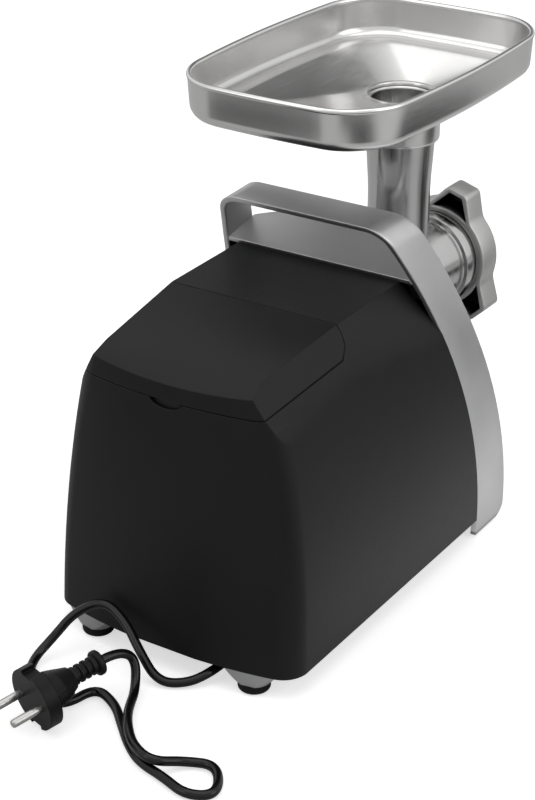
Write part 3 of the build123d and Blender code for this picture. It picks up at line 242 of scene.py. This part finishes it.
def latheFrom(name, profile, centre, axis, away, steps=96):
    # profile holds radius and distance along the axis, drawn as a chain of vertices and spun
    centre, axis, away = Vector(centre), Vector(axis), Vector(away)
    deselectAll()
    bpy.ops.mesh.primitive_plane_add(size=bench["seed"])
    piece = bpy.context.object
    piece.name = name
    bpy.ops.object.mode_set(mode="EDIT")
    bpy.context.tool_settings.mesh_select_mode = (True, False, False)
    bpy.ops.mesh.select_all(action="SELECT")
    bpy.ops.mesh.merge(type="CENTER")
    last = Vector((0, 0, 0))
    for i, (radius, along) in enumerate(profile):
        spot = centre + axis * along + away * radius
        if i == 0:
            bpy.ops.transform.translate(value=spot - last)
        else:
            bpy.ops.mesh.extrude_vertices_move(TRANSFORM_OT_translate={"value": spot - last})
        last = spot
    bpy.ops.mesh.select_all(action="SELECT")
    bpy.ops.mesh.spin(steps=steps, angle=2 * math.pi, center=centre, axis=axis)
    bpy.ops.mesh.select_all(action="SELECT")
    bpy.ops.mesh.remove_doubles(threshold=bench["weld"])
    bpy.ops.mesh.normals_make_consistent(inside=False)
    bpy.ops.object.mode_set(mode="OBJECT")
    return piece


def joinBy(piece, other, operation):
    cut = piece.modifiers.new("cut", "BOOLEAN")
    cut.operation = operation
    cut.solver = "EXACT"
    cut.object = other
    deselectAll()
    bpy.context.view_layer.objects.active = piece
    bpy.ops.object.modifier_apply(modifier=cut.name)
    bpy.data.objects.remove(other)


def weldSlivers(piece):
    deselectAll()
    piece.select_set(True)
    bpy.context.view_layer.objects.active = piece
    bpy.ops.object.mode_set(mode="EDIT")
    bpy.ops.mesh.select_all(action="SELECT")
    bpy.ops.mesh.remove_doubles(threshold=bench["sliver"])
    bpy.ops.object.mode_set(mode="OBJECT")


def makeOne(pieces):
    deselectAll()
    for piece in pieces:
        piece.select_set(True)
    bpy.context.view_layer.objects.active = pieces[0]
    bpy.ops.object.join()
    return pieces[0]


def smoothBy(piece, angle):
    deselectAll()
    piece.select_set(True)
    bpy.context.view_layer.objects.active = piece
    bpy.ops.object.shade_smooth_by_angle(angle=math.radians(angle))


def hang(piece, finish, body, slot, *stoodFor):
    piece.data.materials.clear()
    piece.data.materials.append(finishes[finish])
    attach(piece, body)
    if stoodFor:
        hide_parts(*stoodFor)


# Mains lead
lead = {
    "thickness": 0.0054, "length": 0.530, "order": 3, "smoothness": 12, "roundness": 6,
    "route": [  # millimetres, from the gland to the plug
        (-33, 146.75, 7.6), (-33, 159.55, 7.6), (-24.4, 172.35, 3.2), (-9.3, 180.75, 3),
        (6.5, 176.15, 16.1), (20.7, 169.05, 26.5), (38, 165.75, 33.7), (53.1, 174.85, 25.1),
        (61.1, 184.95, 11.1), (64, 202.05, 3), (53.1, 217.85, 3.3), (38.7, 231.05, 3),
        (20.5, 227.75, 3), (16.4, 203.65, 3.1), (-2, 210.75, 3), (-16.2, 223.85, 3),
        (-29.7, 236.45, 3), (-44.8, 246.75, 3), (-63.3, 250.65, 3.1), (-82.6, 257.05, 3),
        (-96.7, 247.75, 3), (-82.1, 226.35, 3.1), (-64.6, 233.45, 3.1), (-56.4, 251.05, 10.2),
        (-37.5, 242.45, 8.5), (-24.2, 229.05, 9.3), (-13.6, 213.75, 6), (-5.4, 196.15, 5.1),
        (1.5, 185.95, 18.9), (6.4, 196.55, 26.6), (9.9, 207.45, 25),
    ],
}
routeEnd = Vector(lead["route"][-1]) / 1000
plugAxis = (routeEnd - Vector(lead["route"][-2]) / 1000).normalized()


# Plug: grip ribs on both sides of the moulded body
plug = {
    "gripStart": 0.0245, "gripEnd": 0.0355, "ribs": 8, "ribWidth": 0.0007, "proud": 0.0005,
    "reach": 0.0042, "roundness": 48, "ribEdge": 0.0002, "edgeSteps": 2, "crease": 35,
    "stations": [(0.020, 0.0075, 0.0062), (0.029, 0.0125, 0.0080), (0.038, 0.0155, 0.0085)],
}


def plugGirth(along):
    for (a, wideA, highA), (b, wideB, highB) in zip(plug["stations"], plug["stations"][1:]):
        if along <= b:
            share = (along - a) / (b - a)
            return wideA + (wideB - wideA) * share, highA + (highB - highA) * share
    return plug["stations"][-1][1:]


def makePlugRibs():
    across = plugAxis.cross(Vector((0, 0, 1))).normalized()
    rise = plugAxis.cross(across)
    turn = Matrix((across, rise, plugAxis)).transposed().to_4x4()
    made = []
    for i in range(plug["ribs"]):
        along = plug["gripStart"] + (plug["gripEnd"] - plug["gripStart"]) * i / (plug["ribs"] - 1)
        wide, high = plugGirth(along)
        deselectAll()
        bpy.ops.mesh.primitive_cylinder_add(vertices=plug["roundness"], radius=1, depth=plug["ribWidth"])
        rib = bpy.context.object
        rib.name = "plugRib"
        bpy.ops.transform.resize(value=(wide + plug["proud"], high + plug["proud"], 1))
        bpy.ops.object.transform_apply(location=True, rotation=True, scale=True)
        bpy.ops.object.mode_set(mode="EDIT")
        for side in (1, -1):  # keep only the two flanks
            bpy.ops.mesh.select_all(action="SELECT")
            bpy.ops.mesh.bisect(plane_co=(0, side * plug["reach"], 0), plane_no=(0, side, 0),
                                use_fill=True, clear_outer=True)
        bpy.ops.mesh.select_all(action="SELECT")
        bpy.ops.mesh.bevel(offset=plug["ribEdge"], segments=plug["edgeSteps"], affect="EDGES",
                           clamp_overlap=True)
        bpy.ops.object.mode_set(mode="OBJECT")
        rib.data.transform(Matrix.Translation(routeEnd + plugAxis * along) @ turn)
        made.append(rib)
    ribs = makeOne(made)
    ribs.name = "plug_grip_ribs"
    smoothBy(ribs, plug["crease"])
    hang(ribs, "plugPlastic", "base", "plug_plastic")
    return ribs


plugRibs = makePlugRibs()
print("plug ribs cut")


def layLead():
    line = bpy.data.curves.new("mainsLead", "CURVE")
    line.dimensions = "3D"
    run = line.splines.new("NURBS")
    run.points.add(len(lead["route"]) - 1)
    for spot, place in zip(run.points, lead["route"]):
        spot.co = (*(v / 1000 for v in place), 1)
    run.order_u = lead["order"]
    run.use_endpoint_u = True
    run.resolution_u = lead["smoothness"]
    line.bevel_depth = lead["thickness"] / 2
    line.bevel_resolution = lead["roundness"]
    line.use_fill_caps = True
    made = bpy.data.objects.new("mains_lead", line)
    scene.collection.objects.link(made)
    hang(made, "cordSheath", "base", "cord_rubber", "power_cord")


layLead()
print("mains lead laid")

# Hopper tray: pressed pan, rolled rim and the collar that drops over the feed tube
tray = {
    "halfWidth": 0.0722, "front": -0.1594, "rear": 0.0574, "rimHeight": 0.3089, "sideBow": 0.0068,
    "endBow": 0.0034, "corner": 0.0332, "cornerSteps": 14, "rimRadius": 0.0017, "sheet": 0.0011,
    "sideCuts": 11, "wall": [(0.0002, 0.004), (0.0008, 0.0128)], "fillet": 0.0062, "filletSteps": 5,
    "ledge": 0.0066, "lip": (0.0012, 0.0004), "floorCuts": 14, "floorBelowRim": 0.02, "rimRoundness": 4,
    "holeY": -0.09525, "holeRadius": 0.0228, "holeHeight": 0.2715, "crease": 32,
    "collar": [(0.0228, -0.0005), (0.0238, -0.0022), (0.0240, -0.004), (0.0240, -0.0262), (0.0236, -0.0274),
               (0.0228, -0.0281), (0.0216, -0.0282), (0.0214, -0.0279), (0.0214, -0.0036), (0.0187, -0.0036),
               (0.0187, -0.0029), (0.0199, -0.0026), (0.0203, -0.0021), (0.0204, -0.0004), (0.0208, 0.0003),
               (0.0216, 0.0007), (0.0228, 0.0008), (0.0228, -0.0005)],
}


def trayBlank(name):
    deselectAll()
    middle = (tray["front"] + tray["rear"]) / 2
    half = (tray["rear"] - tray["front"]) / 2
    bpy.ops.mesh.primitive_plane_add(size=2, location=(0, middle, tray["rimHeight"]))
    blank = bpy.context.object
    blank.name = name
    bpy.ops.transform.resize(value=(tray["halfWidth"], half, 1))
    bpy.ops.object.transform_apply(location=True, rotation=True, scale=True)
    bpy.ops.object.mode_set(mode="EDIT")
    bpy.ops.mesh.select_all(action="SELECT")
    bpy.ops.mesh.bevel(offset=tray["corner"], segments=tray["cornerSteps"], affect="VERTICES",
                       clamp_overlap=False)
    pickEdges(blank, lambda e: e.calc_length() > tray["corner"])
    bpy.ops.mesh.subdivide(number_cuts=tray["sideCuts"])
    mesh = bmesh.from_edit_mesh(blank.data)
    for v in mesh.verts:  # bowed sides and ends
        down = (v.co.y - middle) / half
        across = v.co.x / tray["halfWidth"]
        v.co.x *= 1 - tray["sideBow"] / tray["halfWidth"] * down ** 2
        v.co.y -= tray["endBow"] * across ** 2 * (1 if down > 0 else -1)
    bmesh.update_edit_mesh(blank.data)
    return blank


def pressPan():
    pan = trayBlank("trayPan")
    pickFaces(pan, lambda f: True)
    for inset, drop in tray["wall"]:
        bpy.ops.mesh.inset(thickness=inset, depth=-drop)
    steps = tray["filletSteps"]
    for i in range(steps):
        a, b = (math.pi / 2 * k / steps for k in (i, i + 1))
        bpy.ops.mesh.inset(thickness=tray["fillet"] * (math.cos(a) - math.cos(b)),
                           depth=-tray["fillet"] * (math.sin(b) - math.sin(a)))
    bpy.ops.mesh.inset(thickness=tray["ledge"], depth=0)
    bpy.ops.mesh.inset(thickness=tray["lip"][0], depth=-tray["lip"][1])
    bpy.ops.mesh.delete(type="ONLY_FACE")
    mesh = bmesh.from_edit_mesh(pan.data)
    count = sum(1 for e in mesh.edges if e.is_boundary) // 2
    bpy.ops.mesh.select_all(action="DESELECT")
    bpy.ops.mesh.primitive_circle_add(vertices=count, radius=tray["holeRadius"],
                                      location=(0, tray["holeY"], tray["holeHeight"]))
    low = tray["rimHeight"] - tray["floorBelowRim"]
    pickEdges(pan, lambda e: (e.is_boundary or e.is_wire) and all(v.co.z < low for v in e.verts))
    bpy.ops.mesh.bridge_edge_loops(type="SINGLE", number_cuts=tray["floorCuts"], interpolation="LINEAR")
    bpy.ops.mesh.select_all(action="SELECT")
    bpy.ops.mesh.normals_make_consistent(inside=False)
    bpy.ops.object.mode_set(mode="OBJECT")
    thick = pan.modifiers.new("sheet", "SOLIDIFY")
    thick.thickness = tray["sheet"]
    thick.offset = 1
    bpy.ops.object.modifier_apply(modifier=thick.name)
    return pan


def rollRim():
    rim = trayBlank("trayRim")
    bpy.ops.mesh.delete(type="ONLY_FACE")
    bpy.ops.object.mode_set(mode="OBJECT")
    bpy.ops.object.convert(target="CURVE")
    rim = bpy.context.object
    rim.data.bevel_depth = tray["rimRadius"]
    rim.data.bevel_resolution = tray["rimRoundness"]
    bpy.ops.object.convert(target="MESH")
    return bpy.context.object


pan = pressPan()
rim = rollRim()
holeCentre = (0, tray["holeY"], tray["holeHeight"])
collar = latheFrom("trayCollar", tray["collar"], holeCentre, (0, 0, 1), (1, 0, 0))
hopperTray = makeOne([pan, rim, collar])
hopperTray.name = "hopper_tray_pressing"
smoothBy(hopperTray, tray["crease"])
hang(hopperTray, "traySteel", "tray", "tray_steel", "hopper_tray")
print("tray pressed:", len(hopperTray.data.polygons), "faces")

# Feed head: turned barrel and tube, bored through
head = {
    "axisHeight": 0.1486, "datum": -0.00325, "tubeY": -0.09525, "steps": 128, "crease": 28,
    "barrel": [(0, 0.032), (0.0286, 0.032), (0.02892, 0.0324), (0.02892, 0.054), (0.0326, 0.054),
               (0.033, 0.0544), (0.033, 0.0576), (0.0326, 0.058), (0.029, 0.058), (0.028, 0.0584),
               (0.0275, 0.0595),
               (0.0273, 0.1275), (0.0276, 0.1288), (0.0284, 0.1294), (0.0305, 0.1296), (0.0309, 0.1299),
               (0.0318, 0.1335), (0.0318, 0.1366), (0.0312, 0.138), (0.0300, 0.138), (0.0300, 0.1556),
               (0.0296, 0.156), (0, 0.156)],
    "bore": [(0, 0.030), (0.0226, 0.030), (0.0226, 0.054), (0.0100, 0.054), (0.0100, 0.058), (0.0226, 0.058),
             (0.0226, 0.1429), (0.0270, 0.1429), (0.0270, 0.158), (0, 0.158)],
    "tube": [(0, 0.1486), (0.0193, 0.1486), (0.0193, 0.210), (0.0196, 0.218), (0.0204, 0.230),
             (0.0210, 0.240), (0.0212, 0.246), (0.0212, 0.2674), (0.0208, 0.268), (0, 0.268)],
    "throat": [(0, 0.1486), (0.0166, 0.1486), (0.0166, 0.254), (0.0187, 0.259), (0.0187, 0.270),
               (0, 0.270)],
}


def alongBarrel(name, profile):
    centre = (0, head["datum"], head["axisHeight"])
    return latheFrom(name, head[profile], centre, (0, -1, 0), (1, 0, 0), head["steps"])


def alongTube(name, profile):
    return latheFrom(name, head[profile], (0, head["tubeY"], 0), (0, 0, 1), (1, 0, 0), head["steps"])


def turnHead():
    body = alongBarrel("feed_head_casting", "barrel")
    joinBy(body, alongTube("tube", "tube"), "UNION")
    inside = alongBarrel("bore", "bore")
    joinBy(inside, alongTube("throat", "throat"), "UNION")  # one cutter leaves a closed mesh
    joinBy(body, inside, "DIFFERENCE")
    weldSlivers(body)
    smoothBy(body, head["crease"])
    hang(body, "castAluminium", "head", "cast_aluminium", "grinder_head")
    return body


feedHead = turnHead()
print("feed head turned:", len(feedHead.data.polygons), "faces")

# Moulded and painted shells: copies of the solids' meshes with their soft creases smoothed
shells = {
    "rear_housing": {"piece": "housing_moulding", "body": "base", "edge": 0.0, "crease": 34, "flat": 0.02},
    "storage_lid": {"piece": "lid_moulding", "body": "lid", "edge": 0.0, "crease": 30, "flat": 0.02},
    "silver_frame": {"piece": "hoop_frame", "body": "base", "edge": 0.0007, "crease": 34, "flat": 0.4},
    "ring_nut": {"piece": "nut_casting", "body": "nut", "edge": 0.0009, "crease": 34, "flat": 0.4},
}
shellEdge = {"steps": 2, "sharper": 40}  # bevel of the edges that turn by more than this
slots = {row["node"]: row["material_slot"] for row in frame["record"]["subparts"]}


def softenShell(node, settings):
    deselectAll()
    piece = bpy.data.objects.new(settings["piece"], nodes[node].data.copy())
    piece.data.transform(nodes[node].matrix_world)
    scene.collection.objects.link(piece)
    piece.select_set(True)
    bpy.context.view_layer.objects.active = piece
    bpy.ops.object.mode_set(mode="EDIT")
    bpy.ops.mesh.select_all(action="SELECT")
    bpy.ops.mesh.remove_doubles(threshold=bench["weld"])
    bpy.ops.mesh.customdata_custom_splitnormals_clear()
    bpy.ops.mesh.dissolve_limited(angle_limit=math.radians(settings["flat"]))
    bpy.ops.mesh.normals_make_consistent(inside=False)
    bpy.ops.object.mode_set(mode="OBJECT")
    if settings["edge"]:
        edge = piece.modifiers.new("edge", "BEVEL")
        edge.width = settings["edge"]
        edge.segments = shellEdge["steps"]
        edge.angle_limit = math.radians(shellEdge["sharper"])
        edge.use_clamp_overlap = False
        bpy.ops.object.modifier_apply(modifier=edge.name)
    smoothBy(piece, settings["crease"])
    hang(piece, slotFinish[slots[node]], settings["body"], slots[node], node)


for node, settings in shells.items():
    softenShell(node, settings)
print("shells smoothed:", len(shells))

# Stage
stage = {
    "floorSize": 12.0, "floorDrop": 0.0003, "floorWhite": 0.82, "floorRoughness": 0.9, "floorGlow": 0.62,
    "ambient": 0.36,
}
lamps = {  # place, aim, size, power
    "overheadBox": ((0.0, 0.2, 2.2), (0, 0, 0.15), (2.4, 2.4), 18),
    "rightBox": ((-2.0, -0.3, 1.1), (0, 0, 0.15), (1.4, 1.8), 12),
    "leftBox": ((1.2, 2.0, 1.2), (0, 0, 0.15), (1.0, 1.4), 5),
}
cards = {  # place, aim, size, grey, soft edge
    "frontFlag": ((0.75, -1.9, 1.35), (0, 0, 0.3), (3.4, 2.2), 0.12, 0.35),
    "cornerFlag": ((-0.52, 0.34, 0.01), (-0.52, 0.34, 0.4), (0.5, 0.6), 0.02, 0.5),
    "sideCard": ((-0.13, -0.06, 0.004), (-0.13, -0.06, 0.4), (0.18, 0.6), 0.95, 0.3),
    "sideFlag": ((-0.42, -0.46, 0.012), (-0.42, -0.46, 0.4), (0.45, 0.65), 0.05, 0.5),
    "trayFlag": ((-0.42, 0.66, 0.014), (-0.42, 0.66, 0.4), (0.42, 0.36), 0.0, 0.6),
    "rearFlag": ((0.36, 0.56, 0.01), (0.36, 0.56, 0.4), (0.55, 0.5), 0.03, 0.5),
}


def makeFloor():
    deselectAll()
    bpy.ops.mesh.primitive_plane_add(size=stage["floorSize"], location=(0, 0, -stage["floorDrop"]))
    floor = bpy.context.object
    floor.name = "studioFloor"
    white = (stage["floorWhite"],) * 3
    made, tree, shader = startMaterial("floorPaper", white, 0.0, stage["floorRoughness"], 0.0)
    glow = tree.nodes.new("ShaderNodeEmission")
    strength = tree.nodes.new("ShaderNodeMath")
    strength.operation = "MULTIPLY"
    strength.inputs[1].default_value = stage["floorGlow"]
    path = tree.nodes.new("ShaderNodeLightPath")
    tree.links.new(path.outputs["Is Camera Ray"], strength.inputs[0])
    tree.links.new(strength.outputs[0], glow.inputs["Strength"])
    both = tree.nodes.new("ShaderNodeAddShader")
    tree.links.new(shader.outputs[0], both.inputs[0])
    tree.links.new(glow.outputs[0], both.inputs[1])
    tree.links.new(both.outputs[0], tree.nodes["Material Output"].inputs["Surface"])
    floor.data.materials.append(made)


def makeWorld():
    world = bpy.data.worlds.new("studio")
    scene.world = world
    world.use_nodes = True
    tree = world.node_tree
    ground = tree.nodes["Background"]
    ground.inputs["Color"].default_value = (1, 1, 1, 1)
    path = tree.nodes.new("ShaderNodeLightPath")
    seen = path.outputs["Is Camera Ray"]
    for name in ("Is Glossy Ray", "Is Transmission Ray"):
        most = tree.nodes.new("ShaderNodeMath")
        most.operation = "MAXIMUM"
        tree.links.new(seen, most.inputs[0])
        tree.links.new(path.outputs[name], most.inputs[1])
        seen = most.outputs[0]
    level = tree.nodes.new("ShaderNodeMapRange")
    level.inputs["To Min"].default_value = stage["ambient"]
    level.inputs["To Max"].default_value = 1.0
    tree.links.new(seen, level.inputs["Value"])
    tree.links.new(level.outputs["Result"], ground.inputs["Strength"])


def softbox(name, place, aim, size, power):
    data = bpy.data.lights.new(name, "AREA")
    data.shape = "RECTANGLE"
    data.size, data.size_y = size
    data.energy = power
    lamp = bpy.data.objects.new(name, data)
    scene.collection.objects.link(lamp)
    lamp.location = place
    lamp.rotation_mode = "QUATERNION"
    lamp.rotation_quaternion = (Vector(aim) - Vector(place)).to_track_quat("-Z", "Y")


def reflectedCard(name, place, aim, size, grey, edge):
    # a card that only reflections see, fading out towards its rim
    deselectAll()
    bpy.ops.mesh.primitive_plane_add(size=2)
    card = bpy.context.object
    card.name = name
    card.location = place
    card.rotation_mode = "QUATERNION"
    card.rotation_quaternion = (Vector(aim) - Vector(place)).to_track_quat("Z", "Y")
    card.scale = (size[0] / 2, size[1] / 2, 1)
    made = bpy.data.materials.new(name)
    made.use_nodes = True
    tree = made.node_tree
    glow = tree.nodes.new("ShaderNodeEmission")
    glow.inputs["Strength"].default_value = grey
    clear = tree.nodes.new("ShaderNodeBsdfTransparent")
    ball = tree.nodes.new("ShaderNodeTexGradient")
    ball.gradient_type = "SPHERICAL"
    tree.links.new(objectPoint(tree), ball.inputs["Vector"])
    mix = tree.nodes.new("ShaderNodeMixShader")
    tree.links.new(spread(tree, ball.outputs["Fac"], 0, 1, 0, 1 - edge), mix.inputs["Fac"])
    tree.links.new(clear.outputs[0], mix.inputs[1])
    tree.links.new(glow.outputs[0], mix.inputs[2])
    tree.links.new(mix.outputs[0], tree.nodes["Material Output"].inputs["Surface"])
    card.data.materials.append(made)
    card.visible_camera = False
    card.visible_diffuse = False
    card.visible_shadow = False


view = {
    "place": (-0.60239, 0.96917, 0.66375), "azimuth": 3.72350990, "elevation": 0.456806539,
    "roll": -0.00199264935, "focal": 2088.89, "pictureHeight": 800, "sensor": 36, "far": 50,
}


def makeCamera():
    data = bpy.data.cameras.new("photoView")
    camera = bpy.data.objects.new("photoView", data)
    scene.collection.objects.link(camera)
    a, p, r = view["azimuth"], view["elevation"], view["roll"]
    back = Vector((math.sin(a) * math.cos(p), -math.cos(a) * math.cos(p), math.sin(p)))
    level = Vector((math.cos(a), math.sin(a), 0))
    rise = back.cross(level)
    right = math.cos(r) * level + math.sin(r) * rise
    up = -math.sin(r) * level + math.cos(r) * rise
    turn = Matrix((right, up, back)).transposed().to_4x4()
    camera.matrix_world = Matrix.Translation(view["place"]) @ turn
    data.sensor_width = view["sensor"]
    data.lens = view["focal"] * view["sensor"] / view["pictureHeight"]  # focal length in pixels
    data.clip_end = view["far"]
    scene.camera = camera


makeFloor()
makeWorld()
for name, settings in lamps.items():
    softbox(name, *settings)
for name, settings in cards.items():
    reflectedCard(name, *settings)
makeCamera()
print("stage, lamps and camera placed")
